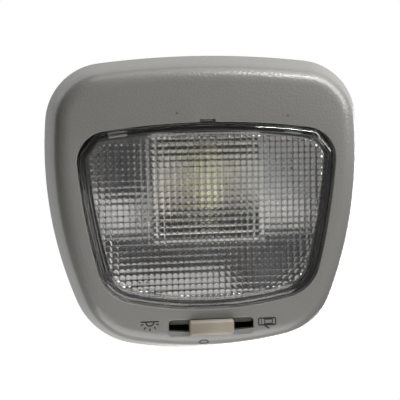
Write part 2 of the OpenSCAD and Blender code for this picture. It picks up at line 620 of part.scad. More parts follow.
bezel();
lens();
light_tray();
reflector();
base();
bulb_glass();
bulb_cap_top();
bulb_cap_low();
bulb_filament();
bulb_clip_lamp();
bulb_clip_feed();
clip_rivets();
feed_strip();
ground_strip();
door_strip();
lamp_strip();
switch_housing();
switch_knob();
switch_carriage();
contact_bridge();
detent_balls();
detent_springs();
base_screws();
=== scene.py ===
"""Looks of a car dome light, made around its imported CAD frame. Lengths are in millimetres."""
import math

import bmesh
import bpy
from bpy.props import FloatProperty, FloatVectorProperty, PointerProperty
from mathutils import Matrix, Vector


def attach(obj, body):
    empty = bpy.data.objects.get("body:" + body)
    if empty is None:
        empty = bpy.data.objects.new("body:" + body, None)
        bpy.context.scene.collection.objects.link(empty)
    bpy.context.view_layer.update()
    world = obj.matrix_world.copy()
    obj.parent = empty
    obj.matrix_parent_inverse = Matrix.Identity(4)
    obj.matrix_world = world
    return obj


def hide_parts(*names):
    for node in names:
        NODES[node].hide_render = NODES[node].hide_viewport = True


bl_info = {
    "name": "Car dome light",
    "version": (1, 0, 0),
    "blender": (4, 5, 0),
    "location": "View3D > Sidebar > Dome light",
    "description": "Smooth shells, pillow optics, print and finishes for the packed dome light",
    "category": "Object",
}

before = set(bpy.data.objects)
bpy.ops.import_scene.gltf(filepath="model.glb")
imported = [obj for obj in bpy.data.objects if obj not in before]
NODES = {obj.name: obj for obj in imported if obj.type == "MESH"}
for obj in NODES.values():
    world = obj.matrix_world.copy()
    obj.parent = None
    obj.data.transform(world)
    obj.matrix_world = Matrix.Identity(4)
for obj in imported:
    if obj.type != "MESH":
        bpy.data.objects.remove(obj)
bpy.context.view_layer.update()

MM = 0.001
LAMP = "lamp"
SLIDER = "slider"
SHARP_ANGLE = math.radians(32)

# Half outlines as tangent arcs of (radius, turn in degrees), from top centre to bottom centre
RIM_ARCS = [(385, 6.75), (26.5, 77.5), (174.5, 27), (32, 57.5)]
OPENING_ARCS = [(309, 8.1), (13.3, 86.3), (278, 9.6), (17.7, 62.6)]
RIM_TOP = -68.7
OPENING_TOP = -40.29

# Levels and walls of the bezel; the headliner plane is at 0 and the lamp hangs down from it
FACE_Z = -20.0
FACE_IN_Z = -17.6
RETURN_Z = -11.0
RETURN_WALL = 1.8
BEZEL_WALL = 2.4
WALL_LEAN = math.radians(19)
RIM_LAND = 1.0
# Rounded foot of the rim, as (distance in, level)
RIM_FOOT = [(0.3, 0.0), (0.09, -0.09), (0.0, -0.3)]
ROLL_STEPS = 12
# Screw posts, as (arc of the rim, direction in degrees, distance in), and their radius, bore and levels
POST_SPOTS = ((1, 32, 17.5), (3, 148, 15.5))
POST = (3.4, 1.5, -4.8, -15.0)

# Levels of the lens, the shoulder round its front and the straight cuts across its top corners
LENS_FRONT_Z = -20.2
LENS_IN_Z = -18.2
SHOULDER = 2.8
SHOULDER_DROP = 2.4
CORNER_FLAT = 1.1
SKIRT_Z = -9.7
SKIRT_WALL = 2.0
# Inner side of the skirt where it meets the lens's inner face, as (distance in, height over that face)
SKIRT_ROOT = ((5.0, 0.0), (3.2, 0.5), (2.2, 2.4))
# Half size of the sheet that the pillows are cut from, the steps across one, and the level of their grooves
PILLOW_SHEET = (52, 41)
PILLOW_STEPS = 6
GROOVE_LIFT = 0.05

# Snap hooks of the lens, as (arc, distance from the middle), with their width, reach and levels
HOOK_SPOTS = ((0, 38.0), (4, 27.0))
HOOK = (8.0, 1.5, -14.6, -12.2)
HOOK_CLEAR = 0.4
# How far inside the skirt a hook starts, and a window inside the bezel's wall
HOOK_SUNK = 0.1
WINDOW_SUNK = 0.4

# Pry notch in the opening's top edge, as (width, step into the bezel, level where it ends)
NOTCH = (6.6, 1.2, -14.0)
# Switch slot, as (length, width, corner radius), and how far its middle is from the bezel's bottom edge
SLOT = (36.6, 7.0, 1.5)
SLOT_SETBACK = 14.0
# Knob, as (length, width, level of its front, level of its back), and its stem, sunk a little into it
KNOB = (19.2, 6.3, -23.6, -17.7)
KNOB_STEM = (8, 1.2, 9.5)
STEM_SUNK = 0.05
# Rounded front edge of the knob, as (distance in, distance behind its front)
KNOB_EDGE = ((0.0, 1.3), (0.12, 0.85), (0.4, 0.5), (0.9, 0.27))

# How far the printed ink stands out, and how thick it is
INK_LIFT = 0.03
INK_THICK = 0.05

# The photograph's view: turned to its left, tilted to its top, and rolled
VIEW_YAW = math.radians(5.9)
VIEW_PITCH = math.radians(6.5)
VIEW_ROLL = math.radians(1.1)
VIEW_DISTANCE = 390.0
VIEW_TARGET = Vector((0, -3, 0))
PIXELS_PER_MM = 2.24
PICTURE = 400
TARGET_PIXEL = (204.3, 205.0)


def hex_linear(code):
    """A colour written as sRGB hex, turned to the linear values that shaders take."""
    parts = [int(code[k : k + 2], 16) / 255 for k in (1, 3, 5)]
    return tuple(c / 12.92 if c <= 0.04045 else ((c + 0.055) / 1.055) ** 2.4 for c in parts)


def length(default, name, description):
    return FloatProperty(name=name, description=description, default=default, min=0.0, max=1000.0,
        unit="NONE")


def colour(code, name, description):
    return FloatVectorProperty(name=name, description=description, default=hex_linear(code), min=0,
        max=1, size=3, subtype="COLOR")


class DomeLightSizes(bpy.types.PropertyGroup):
    """Sizes that can be changed, in millimetres"""
    edge_radius: length(7.4, "Edge radius", "Radius rolled between the bezel's walls and its face, mm")
    lip_radius: length(0.3, "Lip radius", "Radius at the edge of the lens opening and the slot, mm")
    lens_gap: length(0.6, "Lens gap", "Gap all round between the lens and the bezel, mm")
    lens_crown: length(0.25, "Lens crown", "Rise of the lens's middle over its edge, mm")
    pillow_pitch: length(2.5, "Pillow pitch", "Distance between neighbouring pillows in the lens, mm")
    pillow_depth: length(1.0, "Pillow depth", "Height of each pillow over its grooves, mm")
    pillow_margin: length(1.8, "Optics margin", "Smooth band from the lens's shoulder to the pillows, mm")
    stroke: length(0.6, "Print stroke", "Width of the printed lines, mm")


class DomeLightColours(bpy.types.PropertyGroup):
    """Colours that can be changed"""
    bezel: colour("#7b7a76", "Bezel", "Colour of the moulded bezel")
    print: colour("#1f1f1d", "Print", "Colour of the printed symbols")
    knob: colour("#958c7f", "Knob", "Colour of the switch knob")
    lens: colour("#f7f7f6", "Lens", "Tint of the clear lens")
    tray: colour("#c3c2bf", "Tray", "Colour of the light tray")
    base: colour("#56555b", "Base", "Colour of the moulded base")


# Outlines

def ray(turn):
    return Vector((math.sin(turn), -math.cos(turn)))


def chain(arcs, top):
    """Half an outline as tangent arcs, each with its radius, first and last direction and centre."""
    made = []
    point = Vector((0, top))
    heading = 0.0
    for radius, turn in arcs:
        centre = point - radius * ray(heading)
        ahead = heading + math.radians(turn)
        made.append((radius, heading, ahead, centre))
        point = centre + radius * ray(ahead)
        heading = ahead
    radius = point.x / math.sin(heading)
    return made + [(radius, heading, math.pi, point - radius * ray(heading))]


RIM = chain(RIM_ARCS, RIM_TOP)
OPENING = chain(OPENING_ARCS, OPENING_TOP)


def foot(arcs):
    """How far an outline reaches towards its bottom."""
    return arcs[-1][3].y + arcs[-1][0]


SLOT_Y = foot(RIM) - SLOT_SETBACK
OPTIC_Y = (foot(OPENING) + OPENING_TOP) / 2


def spots(arcs, turn_step=4.0, length_step=3.0):
    """Where a closed outline's points stand, once round: arc number, direction and side."""
    half = []
    for number, (radius, first, last, _) in enumerate(arcs):
        sweep = last - first
        count = max(4, math.ceil(math.degrees(sweep) / turn_step), math.ceil(sweep * radius / length_step))
        half += [(number, first + sweep * k / count, 1) for k in range(count)]
    back = [(number, turn, -1) for number, turn, _ in reversed(half[1:])]
    return half + [(len(arcs) - 1, math.pi, 1)] + back


def place(arcs, spot, inset, flat=0.0):
    """The point of an outline at a spot, moved inwards. The top corners may be cut straight by flat."""
    number, turn, side = spot
    radius, first, last, centre = arcs[number]
    point = centre + (radius - inset) * ray(turn)
    if flat and number == 1:
        across = ray((first + last) / 2)
        excess = (point - centre).dot(across) - (radius - inset - flat)
        point -= max(0.0, excess) * across
    return Vector((side * point.x, point.y))


def outline(arcs, inset, flat=0.0, **steps):
    return [place(arcs, spot, inset, flat) for spot in spots(arcs, **steps)]


def rounded(long, wide, radius, grow=0.0, count=8):
    """A rectangle with round corners round the origin, once round."""
    points = []
    reach = radius + grow
    for corner in range(4):
        x = (long / 2 - radius) * (1, -1, -1, 1)[corner]
        y = (wide / 2 - radius) * (1, 1, -1, -1)[corner]
        for k in range(count + 1):
            turn = math.pi / 2 * (corner + k / count)
            points.append(Vector((x + reach * math.cos(turn), y + reach * math.sin(turn))))
    return points


def at_slot(points):
    return [p + Vector((0, SLOT_Y)) for p in points]


def circle(radius, centre, count=24):
    turns = [2 * math.pi * k / count for k in range(count)]
    return [Vector((centre[0] + radius * math.cos(t), centre[1] + radius * math.sin(t))) for t in turns]


# Surfaces

def loop(bm, points, z):
    """A closed ring of edges at one level."""
    verts = [bm.verts.new((p[0], p[1], z)) for p in points]
    return [bm.edges.new(pair) for pair in zip(verts, verts[1:] + verts[:1])]


def loft(bm, levels):
    """Bridges rings of (points, z), and returns the first and the last."""
    rings = [loop(bm, points, z) for points, z in levels]
    for one, other in zip(rings, rings[1:]):
        bmesh.ops.bridge_loops(bm, edges=one + other)
    return rings[0], rings[-1]


def fill(bm, *rings):
    """A flat face between rings: the first is its edge and the others are its holes."""
    edges = [e for ring in rings for e in ring]
    bmesh.ops.triangle_fill(bm, use_beauty=True, use_dissolve=False, edges=edges)


def closed_loft(bm, levels):
    """A loft with a flat face at each end."""
    for ring in loft(bm, levels):
        bmesh.ops.contextual_create(bm, geom=ring)


def hook_boxes(bm, gap, clear=0.0):
    """The lens's four snap hooks, or the bezel's windows for them where there is a clearance."""
    width, reach, low, high = HOOK
    near = -WINDOW_SUNK if clear else -HOOK_SUNK
    far = reach + gap if clear else reach
    for number, across in HOOK_SPOTS:
        radius, _, _, centre = OPENING[number]
        turn = abs(math.asin(across / radius) - (math.pi if number else 0.0))
        out, along = ray(turn), Vector((math.cos(turn), math.sin(turn)))
        wall = centre + (radius - gap) * out
        for side in (1, -1):
            corners = []
            for a, depth in ((-1, near), (1, near), (1, far), (-1, far)):
                point = wall + a * (width / 2 + clear) * along + depth * out
                corners.append(Vector((side * point.x, point.y)))
            closed_loft(bm, [(corners, low - clear), (corners, high + clear)])


def cut(bm, cutter):
    """Cuts closed shapes out of a mesh, and returns what is left."""
    scratch = []
    for part in (bm, cutter):
        bmesh.ops.recalc_face_normals(part, faces=part.faces)
        mesh = bpy.data.meshes.new("cutting")
        part.to_mesh(mesh)
        part.free()
        scratch.append(bpy.data.objects.new("cutting", mesh))
        bpy.context.scene.collection.objects.link(scratch[-1])
    modifier = scratch[0].modifiers.new("cut", "BOOLEAN")
    modifier.object = scratch[1]
    modifier.solver = "EXACT"
    left = bmesh.new()
    left.from_mesh(scratch[0].evaluated_get(bpy.context.evaluated_depsgraph_get()).data)
    for piece in scratch:
        bpy.data.meshes.remove(piece.data)
    return left


def finish(bm, name, material, body, replaced=()):
    """Turns a mesh in millimetres into a finished piece that rides on its body."""
    bmesh.ops.recalc_face_normals(bm, faces=bm.faces)
    bmesh.ops.scale(bm, vec=(MM, MM, MM), verts=bm.verts)
    mesh = bpy.data.meshes.new(name)
    bm.to_mesh(mesh)
    bm.free()
    mesh.shade_smooth()
    mesh.set_sharp_from_angle(angle=SHARP_ANGLE)
    mesh.materials.append(material)
    piece = bpy.data.objects.new(name, mesh)
    bpy.context.scene.collection.objects.link(piece)
    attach(piece, body)
    if replaced:
        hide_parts(*replaced)


# Materials

# Dark specks on the face, and a scuff at the top left, as (middle, whole within, gone beyond)
SPECKS = ((-12.8, -44.2), (34.2, -42.2))
SCUFF = ((-60.5, -51.0, -12.0), 0.5, 5.0)
# Painted shade on the straight walls of the openings and in the tray's upper left corner, as (middle, half
# size)
WALL_SHADE = ((0.0, 6.0, -14.3), (56.0, 48.0, 5.3))
TRAY_SHADE = ((-41.0, -25.5, -10.0), (16.0, 13.0, 12.0))
# Painted brownish shade on the knob's lower left, and a pinkish tinge on the sheet beside the bulb
KNOB_SHADE = ((-6.5, SLOT_Y + 1.5, -23.6), 0.5, 9.0)
SHEET_TINGE = ((-15.0, -9.0, 8.0), 3.0, 15.0)
# Most that a wall's normal may lean out of level for the wall to be upright
UPRIGHT_LEAN = 0.2
# Shares of the pitch that the painted groove shade takes up, in the grooves along Y and in those along X
GROOVE_SHADE_SHARES = (0.42, 0.46)
# The levels between which the polished lens turns into its duller skirt
SKIRT_FADE = (-16.6, -16.3)


def port(sockets, key):
    """A socket by its number, its identifier or its name."""
    if isinstance(key, int):
        return sockets[key]
    return next((s for s in sockets if s.identifier == key), None) or sockets[key]


def add_node(tree, kind, inputs=None, **settings):
    """One node with its settings, and with the plain value or the linked socket of each input."""
    made = tree.nodes.new(kind)
    for name, value in settings.items():
        setattr(made, name, value)
    for key, value in (inputs or {}).items():
        if isinstance(value, bpy.types.NodeSocket):
            tree.links.new(value, port(made.inputs, key))
        else:
            port(made.inputs, key).default_value = value
    return made


def rgba(rgb):
    return (*rgb, 1.0)


def shade(rgb, share):
    return rgba(min(1.0, c * share) for c in rgb)


def new_material(name, rgb, roughness, metallic=0.0, **sockets):
    """A material with its main shader, whose plain values stand on the shader's own sockets."""
    material = bpy.data.materials.new(name)
    material.use_nodes = True
    tree = material.node_tree
    shader = tree.nodes["Principled BSDF"]
    shader.inputs["Base Color"].default_value = rgba(rgb)
    shader.inputs["Roughness"].default_value = roughness
    shader.inputs["Metallic"].default_value = metallic
    for socket, value in sockets.items():
        shader.inputs[socket.replace("_", " ")].default_value = value
    return material, tree, shader


def noise(tree, size_mm, detail=2.0, stretch=(1, 1, 1)):
    """Noise of a given grain size on the object's own coordinates."""
    where = add_node(tree, "ShaderNodeTexCoord").outputs["Object"]
    spread = add_node(tree, "ShaderNodeMapping", {"Vector": where, "Scale": stretch}).outputs["Vector"]
    return add_node(tree, "ShaderNodeTexNoise", {"Vector": spread, "Scale": 1 / (size_mm * MM),
        "Detail": detail}).outputs["Fac"]


def grain(tree, shader, size_mm, depth_mm, **how):
    """Bump of a given grain size and depth."""
    height = noise(tree, size_mm, **how)
    bump = add_node(tree, "ShaderNodeBump", {"Height": height, "Distance": depth_mm * MM, "Strength": 1.0})
    tree.links.new(bump.outputs["Normal"], shader.inputs["Normal"])


def tones(tree, shader, rgb, size_mm, dark, light, roughness=None, **how):
    """Slow change of colour between two shares of it, and of roughness between two values."""
    slow = noise(tree, size_mm, **how)
    mixed = add_node(tree, "ShaderNodeMix", {"Factor_Float": slow, "A_Color": shade(rgb, dark),
        "B_Color": shade(rgb, light)}, data_type="RGBA")
    result = port(mixed.outputs, "Result_Color")
    tree.links.new(result, shader.inputs["Base Color"])
    if roughness:
        rough = add_node(tree, "ShaderNodeMapRange", {"Value": slow, "To Min": roughness[0],
            "To Max": roughness[1]}).outputs["Result"]
        tree.links.new(rough, shader.inputs["Roughness"])
    return result


def spot_mask(tree, centre_mm, near_mm, far_mm):
    """One inside a ball round a point, falling to nothing at its edge."""
    where = add_node(tree, "ShaderNodeTexCoord").outputs["Object"]
    centre = [c * MM for c in centre_mm]
    away = add_node(tree, "ShaderNodeVectorMath", {0: where, 1: centre}, operation="DISTANCE")
    return add_node(tree, "ShaderNodeMapRange", {"Value": away.outputs["Value"], "From Min": near_mm * MM,
        "From Max": far_mm * MM, "To Min": 1.0, "To Max": 0.0}).outputs["Result"]


def box_mask(tree, centre_mm, half_mm):
    """One inside a box round a point and nothing outside it."""
    where = add_node(tree, "ShaderNodeTexCoord").outputs["Object"]
    centre = [c * MM for c in centre_mm]
    half = [h * MM for h in half_mm]
    away = add_node(tree, "ShaderNodeVectorMath", {0: where, 1: centre}, operation="SUBTRACT").outputs[0]
    away = add_node(tree, "ShaderNodeVectorMath", {0: away}, operation="ABSOLUTE").outputs[0]
    away = add_node(tree, "ShaderNodeVectorMath", {0: away, 1: half}, operation="DIVIDE").outputs[0]
    axes = add_node(tree, "ShaderNodeSeparateXYZ", {0: away}).outputs
    most = add_node(tree, "ShaderNodeMath", {0: axes["X"], 1: axes["Y"]}, operation="MAXIMUM").outputs[0]
    most = add_node(tree, "ShaderNodeMath", {0: most, 1: axes["Z"]}, operation="MAXIMUM").outputs[0]
    return add_node(tree, "ShaderNodeMath", {0: most, 1: 1.0}, operation="LESS_THAN").outputs[0]


def upright(tree):
    """One on walls that stand straight up from the headliner, and nothing on faces and leaning walls."""
    normal = add_node(tree, "ShaderNodeTexCoord").outputs["Normal"]
    lean = add_node(tree, "ShaderNodeSeparateXYZ", {0: normal}).outputs["Z"]
    lean = add_node(tree, "ShaderNodeMath", {0: lean}, operation="ABSOLUTE").outputs[0]
    return add_node(tree, "ShaderNodeMath", {0: lean, 1: UPRIGHT_LEAN}, operation="LESS_THAN").outputs[0]


def over(tree, below, code, strength, *masks):
    """Lays a colour over another, plain or from a socket, as strongly as the product of its masks."""
    share = strength
    for mask in masks:
        share = add_node(tree, "ShaderNodeMath", {0: mask, 1: share}, operation="MULTIPLY").outputs[0]
    mixed = add_node(tree, "ShaderNodeMix", {"Factor_Float": share, "A_Color": below,
        "B_Color": rgba(hex_linear(code))}, data_type="RGBA")
    return port(mixed.outputs, "Result_Color")


def moulded_abs(rgb):
    """Grey ABS from a fine eroded mould: satin, with a soft grain, dark specks, a scuff of use, and painted
    shade on its upright walls.
    """
    material, tree, shader = new_material("moulded_grey_abs", rgb, 0.295)
    base = tones(tree, shader, rgb, 28, 0.95, 1.04, (0.28, 0.31), detail=5.0)
    for x, y in SPECKS:
        base = over(tree, base, "#46443f", 0.8, spot_mask(tree, (x, y, FACE_Z), 0.2, 0.75))
    # Painted shade, dark grey, on the upright walls of the lens opening, its notch and the slot
    base = over(tree, base, "#2a2926", 0.8, upright(tree), box_mask(tree, *WALL_SHADE))
    base = over(tree, base, "#c6c4bf", 0.8, spot_mask(tree, *SCUFF), noise(tree, 1.2, detail=3.0))
    tree.links.new(base, shader.inputs["Base Color"])
    # The real grain is about 0.15 mm; it is drawn coarser so that a pixel can show it
    grain(tree, shader, 0.95, 0.16)
    return material


def let_light_in(tree, shader, tint):
    """Lets lamplight through a clear wall to what lies behind it, where the renderer would stop it."""
    clear = add_node(tree, "ShaderNodeBsdfTransparent", {"Color": tint})
    shadow = add_node(tree, "ShaderNodeLightPath").outputs["Is Shadow Ray"]
    mixed = add_node(tree, "ShaderNodeMixShader", {0: shadow, 1: shader.outputs["BSDF"],
        2: clear.outputs["BSDF"]})
    tree.links.new(mixed.outputs["Shader"], tree.nodes["Material Output"].inputs["Surface"])


def grooves(tree, across, pitch_mm, offset_mm, wide):
    """One along the lines half a pitch from each pillow's middle, falling to nothing on the pillow."""
    half = pitch_mm / 2 * MM
    moved = add_node(tree, "ShaderNodeMath", {0: across, 1: (pitch_mm - offset_mm) * MM}).outputs[0]
    fold = add_node(tree, "ShaderNodeMath", {0: moved, 1: half}, operation="PINGPONG").outputs[0]
    return add_node(tree, "ShaderNodeMapRange", {"Value": fold, "From Min": (1 - wide) * half,
        "From Max": half}, interpolation_type="SMOOTHSTEP").outputs["Result"]


def clear_polycarbonate(rgb, pitch_mm):
    """Clear injection-moulded polycarbonate: polished face and pillows, painted shade in the grooves, and a
    duller skirt.
    """
    material, tree, shader = new_material("clear_polycarbonate", rgb, 0.03, Transmission_Weight=1.0,
        IOR=1.58)
    where = add_node(tree, "ShaderNodeTexCoord").outputs["Object"]
    axes = add_node(tree, "ShaderNodeSeparateXYZ", {0: where}).outputs
    # Painted shade darkens the grooves between the pillows, unevenly in those along Y
    upward = grooves(tree, axes["X"], pitch_mm, 0.0, GROOVE_SHADE_SHARES[0])
    level = grooves(tree, axes["Y"], pitch_mm, OPTIC_Y, GROOVE_SHADE_SHARES[1])
    uneven = add_node(tree, "ShaderNodeMapRange", {"Value": noise(tree, 3.0), "From Min": 0.3,
        "From Max": 0.6, "To Min": 0.45}).outputs["Result"]
    upward = add_node(tree, "ShaderNodeMath", {0: upward, 1: uneven}, operation="MULTIPLY").outputs[0]
    lines = add_node(tree, "ShaderNodeMath", {0: upward, 1: level}, operation="MAXIMUM").outputs[0]
    inner = add_node(tree, "ShaderNodeMath", {0: axes["Z"], 1: (LENS_IN_Z + 0.04) * MM},
        operation="GREATER_THAN").outputs[0]
    field = box_mask(tree, (0.0, OPTIC_Y, LENS_IN_Z), (60.0, 50.0, 1.3))
    # Painted shade, dark grey, along the grooves of the pillow field
    base = over(tree, rgba(rgb), "#3b3a38", 0.72, lines, inner, field)
    tree.links.new(base, shader.inputs["Base Color"])
    # The duller skirt scatters part of the light that falls on it from the side
    fade = {"Value": axes["Z"], "From Min": SKIRT_FADE[0] * MM, "From Max": SKIRT_FADE[1] * MM}
    rough = add_node(tree, "ShaderNodeMapRange", {**fade, "To Min": 0.03, "To Max": 0.09})
    tree.links.new(rough.outputs["Result"], shader.inputs["Roughness"])
    dim = add_node(tree, "ShaderNodeMapRange", {**fade, "To Min": 0.93, "To Max": 0.6})
    let_light_in(tree, shader, dim.outputs["Result"])
    return material


def printed_ink(rgb):
    """Pad-printed ink, flat and a little worn."""
    material, tree, shader = new_material("pad_printed_ink", rgb, 0.6)
    tones(tree, shader, rgb, 0.8, 0.8, 1.5, detail=3.0)
    return material


def knob_plastic(rgb):
    """Beige acetal from a spark-eroded mould, matt, with painted brownish shade at its lower left."""
    material, tree, shader = new_material("spark_eroded_acetal", rgb, 0.36)
    base = tones(tree, shader, rgb, 3, 0.9, 1.08, (0.32, 0.42), detail=5.0)
    # Painted brownish shade on the knob's lower left
    base = over(tree, base, "#6e6056", 0.5, spot_mask(tree, *KNOB_SHADE))
    tree.links.new(base, shader.inputs["Base Color"])
    # Drawn coarser than the real grain of about 0.1 mm, so that it shows
    grain(tree, shader, 0.6, 0.05)
    return material


def tray_plastic(rgb):
    """White reflector ABS, glossy from a polished mould, with painted shade in its upper left corner."""
    material, tree, shader = new_material("polished_white_abs", rgb, 0.3)
    base = tones(tree, shader, rgb, 15, 0.92, 1.03, (0.24, 0.36))
    # Painted shade, dark grey, over the tray's upper left corner
    base = over(tree, base, "#5a5856", 0.85, box_mask(tree, *TRAY_SHADE))
    tree.links.new(base, shader.inputs["Base Color"])
    return material


def base_plastic(rgb):
    """Dark talc-filled polypropylene with a dull moulded skin, its grain drawn coarse enough to show."""
    material, tree, shader = new_material("talc_filled_polypropylene", rgb, 0.55)
    tones(tree, shader, rgb, 9, 0.85, 1.2, (0.5, 0.65), detail=5.0)
    grain(tree, shader, 0.9, 0.015)
    return material


def dark_acetal(code, name):
    """Dark moulded acetal of the switch parts, smooth and a little waxy."""
    rgb = hex_linear(code)
    material, tree, shader = new_material(name, rgb, 0.38)
    tones(tree, shader, rgb, 4, 0.85, 1.25, (0.34, 0.46))
    grain(tree, shader, 0.6, 0.006)
    return material


def blown_glass():
    """Thin bulb glass with the pale yellow film that a used bulb takes."""
    rgb = hex_linear("#f7f4da")
    material, tree, shader = new_material("blown_bulb_glass", rgb, 0.3, Transmission_Weight=0.45, IOR=1.5)
    let_light_in(tree, shader, rgba(rgb))
    return material


def metal(name, code, roughness, size_mm=2.0):
    """A metal whose tone and polish vary a little over its skin."""
    rgb = hex_linear(code)
    material, tree, shader = new_material(name, rgb, roughness, 1.0)
    tones(tree, shader, rgb, size_mm, 0.88, 1.12, (roughness * 0.8, roughness * 1.25), detail=4.0)
    return material


def lacquered_sheet():
    """White-lacquered reflector sheet, satin, with faint rolling lines along the bulb."""
    rgb = hex_linear("#fbf9f4")
    material, tree, shader = new_material("white_lacquered_sheet", rgb, 0.5)
    base = tones(tree, shader, rgb, 6, 0.92, 1.0, (0.46, 0.56), stretch=(1, 0.05, 1))
    # A pinkish tinge on the sheet beside the bulb
    base = over(tree, base, "#c7a999", 0.4, spot_mask(tree, *SHEET_TINGE))
    tree.links.new(base, shader.inputs["Base Color"])
    grain(tree, shader, 0.8, 0.004, stretch=(1, 0.04, 1))
    return material


# Pieces

def roll_inset(roll):
    """How far in from the rim's edge the middle of the rolled edge lies."""
    rise = -FACE_Z - RIM_LAND - roll * (1 - math.sin(WALL_LEAN))
    return roll * math.cos(WALL_LEAN) + math.tan(WALL_LEAN) * rise


def lip_levels(radius, count=4):
    """Grow and drop along a rounded edge, from the face into the opening."""
    turns = [math.pi / 2 * k / count for k in range(count + 1)]
    return [(radius * (1 - math.sin(t)), radius * (1 - math.cos(t))) for t in turns]


def mouth_outline(grow, deep=0.0):
    """The lens opening grown outwards, with the pry notch in its top edge where that is deep."""
    half = NOTCH[0] / 2 + grow
    points = [p for p in outline(OPENING, -grow) if abs(p.x) > half + 0.05]
    side = place(OPENING, (0, math.asin(half / OPENING[0][0]), 1), -grow)
    left, right = Vector((-half, side.y)), Vector((half, side.y))
    if not deep:
        return points + [left, right]
    step = Vector((0, deep))
    return points + [left, left - step, right - step, right]


class DOMELIGHT_OT_bezel(bpy.types.Operator):
    """Makes the bezel as one shell with its rolled edge, openings, return wall, windows and screw posts"""
    bl_idname = "dome_light.bezel"
    bl_label = "Bezel"

    def execute(self, context):
        sizes = context.scene.dome_light_sizes
        bm = bmesh.new()
        face_edge, back_edge = self.walls(bm, sizes.edge_radius)
        lip = lip_levels(sizes.lip_radius)
        mouth, wall_foot = self.mouth(bm, lip)
        slot = [(at_slot(rounded(*SLOT, grow)), FACE_Z + drop) for grow, drop in lip]
        slot.append((at_slot(rounded(*SLOT)), FACE_IN_Z))
        slot_edge, slot_back = loft(bm, slot)
        posts = self.posts(bm)
        fill(bm, face_edge, mouth, slot_edge)
        fill(bm, back_edge, wall_foot, slot_back, *posts)
        bmesh.ops.remove_doubles(bm, verts=bm.verts, dist=0.001)
        bmesh.ops.contextual_create(bm, geom=[e for e in bm.edges if e.is_boundary])
        windows = bmesh.new()
        hook_boxes(windows, sizes.lens_gap, HOOK_CLEAR)
        bm = cut(bm, windows)
        material = moulded_abs(context.scene.dome_light_colours.bezel)
        finish(bm, "bezel_shell", material, LAMP, ["bezel"])
        return {"FINISHED"}

    def walls(self, bm, roll):
        """Outer and inner side of the leaning wall and its roll. Returns where each meets the face."""
        arc_z = FACE_Z + roll
        arc_inset = roll_inset(roll)
        turns = [(math.pi / 2 - WALL_LEAN) * k / ROLL_STEPS for k in range(ROLL_STEPS, -1, -1)]
        outer = RIM_FOOT + [(0.0, -RIM_LAND)]
        outer += [(arc_inset - roll * math.sin(t), arc_z - roll * math.cos(t)) for t in turns]
        small = roll - BEZEL_WALL
        inner = BEZEL_WALL / math.cos(WALL_LEAN)
        hollow = [(arc_inset - small * math.sin(t), arc_z - small * math.cos(t)) for t in reversed(turns)]
        hollow += [(inner, -RIM_LAND), (inner, 0.0), RIM_FOOT[0]]
        _, face_edge = loft(bm, [(outline(RIM, inset), z) for inset, z in outer])
        back_edge, _ = loft(bm, [(outline(RIM, inset), z) for inset, z in hollow])
        return face_edge, back_edge

    def mouth(self, bm, lip):
        """Lip, notch and return wall of the lens opening. Returns where they meet the face and its back."""
        _, notch_depth, notch_z = NOTCH
        levels = [(mouth_outline(grow, notch_depth), FACE_Z + drop) for grow, drop in lip]
        mouth, _ = loft(bm, levels + [(mouth_outline(0, notch_depth), notch_z)])
        wall = [(mouth_outline(0), notch_z), (mouth_outline(0), RETURN_Z),
            (mouth_outline(RETURN_WALL), RETURN_Z), (mouth_outline(RETURN_WALL), FACE_IN_Z)]
        _, wall_foot = loft(bm, wall)
        return mouth, wall_foot

    def posts(self, bm):
        """The four bored screw posts. Returns the ring where each stands on the face's back."""
        made = []
        radius, bore_radius, top, bore_end = POST
        for arc, turn, inset in POST_SPOTS:
            for side in (-1, 1):
                centre = place(RIM, (arc, math.radians(turn), side), inset)
                post, bore = loft(bm, [(circle(radius, centre), FACE_IN_Z), (circle(radius, centre), top),
                    (circle(bore_radius, centre), top), (circle(bore_radius, centre), bore_end)])
                fill(bm, bore)
                made.append(post)
        return made


def pillows(bm, sizes):
    """A sheet of pillows, cut to the lens's field, with a rim to the lens's inner face. Returns the rim."""
    pitch = sizes.pillow_pitch
    columns, rows = (2 * math.ceil(half / pitch) + 1 for half in PILLOW_SHEET)
    bmesh.ops.create_grid(bm, x_segments=columns * PILLOW_STEPS, y_segments=rows * PILLOW_STEPS, size=0.5)
    bmesh.ops.scale(bm, vec=(columns * pitch, rows * pitch, 1), verts=bm.verts)
    for vert in bm.verts:
        across = (vert.co.x / pitch + 0.5) % 1
        along = (vert.co.y / pitch + 0.5) % 1
        swell = 1 - (2 * across - 1) ** 2 / 2 - (2 * along - 1) ** 2 / 2
        vert.co.z = LENS_IN_Z + GROOVE_LIFT + sizes.pillow_depth * swell
    bmesh.ops.translate(bm, vec=(0, OPTIC_Y, 0), verts=bm.verts)
    edge = outline(OPENING, sizes.lens_gap + SHOULDER + sizes.pillow_margin, turn_step=7, length_step=8)
    for here, there in zip(edge, edge[1:] + edge[:1]):
        along = there - here
        bmesh.ops.bisect_plane(bm, geom=bm.verts[:] + bm.edges[:] + bm.faces[:], dist=1e-5,
            plane_co=(here.x, here.y, 0), plane_no=(-along.y, along.x, 0), clear_inner=True)
    border = [e for e in bm.edges if e.is_boundary]
    made = bmesh.ops.extrude_edge_only(bm, edges=border)["geom"]
    for vert in made:
        if isinstance(vert, bmesh.types.BMVert):
            vert.co.z = LENS_IN_Z
    edges = [e for e in made if isinstance(e, bmesh.types.BMEdge)]
    return [e for e in edges if all(abs(v.co.z - LENS_IN_Z) < 1e-6 for v in e.verts)]


